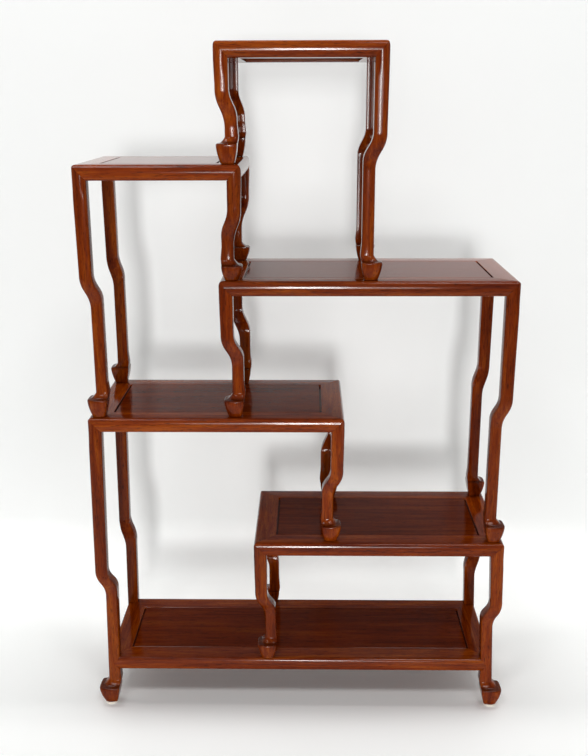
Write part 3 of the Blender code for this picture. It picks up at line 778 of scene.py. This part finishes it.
def make_panel(shelf, material):
    """A board flush with its frame, with eased top edges and a tongue all round."""
    top = shelf.top
    body = (RAIL_WIDTH + PANEL_END_GAP, RAIL_WIDTH + PANEL_SIDE_GAP)
    eased = (body[0] + EDGE_EASE, body[1] + EDGE_EASE)
    edge = RAIL_WIDTH - GROOVE_DEPTH + TONGUE_END_ROOM
    tongue = (edge, edge)
    tongue_top = top - GROOVE_DROP - SEAM
    tongue_low = top - GROOVE_DROP - GROOVE_HEIGHT + SEAM
    under = top - PANEL_THICKNESS
    steps = ((under, body), (tongue_low, body), (tongue_low, tongue), (tongue_top, tongue),
             (tongue_top, body), (top - EDGE_EASE, body), (top, eased))
    corners = (("left", "front"), ("right", "front"), ("right", "back"), ("left", "back"))
    rings = [[to_world(shelf, side, end, (*inset, z)) for side, end in corners] for z, inset in steps]
    node = f"{shelf.name}_panel"
    panel = mesh_object(f"{node}_shaped", loft(rings), material)
    # Painted shade in the groove round the panel, at the tongue's top
    paint_shade_at(panel.data, tongue_top)
    dress(panel, node)


def make_pad(node, material):
    """A round felt pad with a soft, slightly uneven edge, where the frame has its pad."""
    low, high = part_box(node)
    centre = (low + high) / 2
    turns = [2 * math.pi * i / PAD_STEPS for i in range(PAD_STEPS)]
    profile = [(PAD_DIAMETER / 2 - PAD_ROUND, 0.0), (PAD_DIAMETER / 2 - PAD_WAVE, PAD_ROUND),
               (PAD_DIAMETER / 2 - PAD_WAVE, PAD_THICKNESS - PAD_ROUND),
               (PAD_DIAMETER / 2 - PAD_ROUND, PAD_THICKNESS)]
    rings = []
    for radius, z in profile:
        ring = []
        for turn in turns:
            first = math.sin(PAD_RIPPLES[0] * turn + centre.x * PAD_RIPPLE_SHIFTS[0])
            second = math.sin(PAD_RIPPLES[1] * turn + centre.y * PAD_RIPPLE_SHIFTS[1])
            uneven = radius + PAD_WAVE * first * second
            ring.append((centre.x + uneven * math.cos(turn), centre.y + uneven * math.sin(turn), z))
        rings.append(ring)
    dress(mesh_object(f"{node}_shaped", loft(rings), material), node)


def place_sheet(name, bm, material):
    """A sheet of the stage, which keeps the way its faces were drawn."""
    mesh = bpy.data.meshes.new(name)
    bm.to_mesh(mesh)
    bm.free()
    mesh.shade_smooth()
    mesh.materials.append(material)
    sheet = bpy.data.objects.new(name, mesh)
    bpy.context.scene.collection.objects.link(sheet)


def make_sweep(material):
    """A pale floor that curves up into a backdrop behind the stand."""
    line = [(SWEEP_FRONT, 0.0), (SWEEP_START, 0.0)]
    for i in range(1, SWEEP_STEPS + 1):
        turn = math.pi / 2 * i / SWEEP_STEPS
        line.append((SWEEP_START + SWEEP_RADIUS * math.sin(turn), SWEEP_RADIUS * (1 - math.cos(turn))))
    line.append((SWEEP_START + SWEEP_RADIUS, SWEEP_TOP))
    bm = bmesh.new()
    left = [bm.verts.new((-SWEEP_SIDE, y, z)) for y, z in line]
    right = [bm.verts.new((SWEEP_SIDE, y, z)) for y, z in line]
    for i in range(len(line) - 1):
        bm.faces.new((left[i], right[i], right[i + 1], left[i + 1]))
    place_sheet("sweep", bm, material)


def make_floor(material):
    """The floor behind the sweep, for views from the back."""
    bm = bmesh.new()
    corners = ((-SWEEP_SIDE, SWEEP_START), (SWEEP_SIDE, SWEEP_START), (SWEEP_SIDE, FLOOR_BACK),
               (-SWEEP_SIDE, FLOOR_BACK))
    bm.faces.new([bm.verts.new((x, y, -FLOOR_DROP)) for x, y in corners])
    place_sheet("floor", bm, material)


def make_lamps():
    """Soft lamps, which the camera doesn't see."""
    for name, (place, aim, width, height, power) in LAMPS.items():
        lamp = bpy.data.lights.new(name, "AREA")
        lamp.shape = "RECTANGLE"
        lamp.size = width
        lamp.size_y = height
        lamp.energy = power
        holder = bpy.data.objects.new(name, lamp)
        holder.location = place
        holder.rotation_euler = (aim - place).to_track_quat("-Z", "Y").to_euler()
        holder.visible_camera = False
        bpy.context.scene.collection.objects.link(holder)


def make_world():
    """A dim room all round, lighter to the eye than to the stand."""
    world = bpy.data.worlds.new("room")
    world.use_nodes = True
    tree = world.node_tree
    room = tree.nodes["Background"]
    room.inputs["Color"].default_value = (*WORLD_COLOUR, 1.0)
    values = {"Value": seen_rays(tree), "To Min": WORLD_LIGHT, "To Max": WORLD_SEEN}
    strength = new_node(tree, "ShaderNodeMapRange", values).outputs["Result"]
    tree.links.new(strength, room.inputs["Strength"])
    bpy.context.scene.world = world


def make_camera():
    """The photograph's own view."""
    level = math.cos(CAMERA_PITCH)
    ahead = Vector((math.sin(CAMERA_YAW) * level, math.cos(CAMERA_YAW) * level, math.sin(CAMERA_PITCH)))
    right = Vector((math.cos(CAMERA_YAW), -math.sin(CAMERA_YAW), 0.0))
    up = right.cross(ahead)
    turn = Matrix.Rotation(CAMERA_ROLL, 3, -ahead)
    axes = (turn @ right, turn @ up, -ahead)
    camera = bpy.data.cameras.new("camera")
    camera.sensor_fit = "VERTICAL"
    camera.sensor_height = SENSOR
    camera.sensor_width = SENSOR
    camera.lens = FOCAL_HEIGHTS * SENSOR
    holder = bpy.data.objects.new("camera", camera)
    holder.matrix_world = Matrix.Translation(CAMERA_PLACE) @ Matrix(axes).transposed().to_4x4()
    bpy.context.scene.collection.objects.link(holder)
    bpy.context.scene.camera = holder


NODE_NAMES = sorted(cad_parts)

# Stage
make_camera()
make_lamps()
make_world()
make_sweep(make_paper("sweep_paper", FLOOR_GAIN, WALL_GAIN))
make_floor(make_paper("back_paper", BACK_GAIN, BACK_GAIN))

# Materials
leg_wood = make_wood("leg_wood", Z_AXIS, FRAME_TONES, LEG_SHINE)
long_rail_wood = make_wood("long_rail_wood", X_AXIS, FRAME_TONES, RAIL_SHINE)
short_rail_wood = make_wood("short_rail_wood", Y_AXIS, FRAME_TONES, RAIL_SHINE)
# Board and batten wood, darkened in part as painted shade
panel_wood = make_wood("panel_wood", X_AXIS, SHADED_PANEL_TONES, PANEL_SHINE)
batten_wood = make_wood("batten_wood", Y_AXIS, SHADED_PANEL_TONES, PANEL_SHINE)
felt = make_felt()

# Pieces
shelves = {name: read_shelf(name) for name in ("base", *STANDS)}
shelves["base"].corner_tops = {"left": shelves["middle_left"].top, "right": shelves["lower_right"].top}
for shelf in shelves.values():
    for end in ENDS:
        make_rail(shelf, end, True, [(side, end) for side in SIDES], long_rail_wood)
    for side in SIDES:
        make_rail(shelf, side, False, [(side, end) for end in ENDS], short_rail_wood)
    make_panel(shelf, panel_wood)
for name in STANDS:
    for side in SIDES:
        for end in ENDS:
            make_leg(shelves[name], side, end, shelves, leg_wood)
for node in NODE_NAMES:
    if node.startswith("felt_pad"):
        make_pad(node, felt)
    if "_batten" in node:
        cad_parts[node].data.materials.clear()
        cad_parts[node].data.materials.append(batten_wood)

bpy.context.scene.view_settings.view_transform = "Standard"
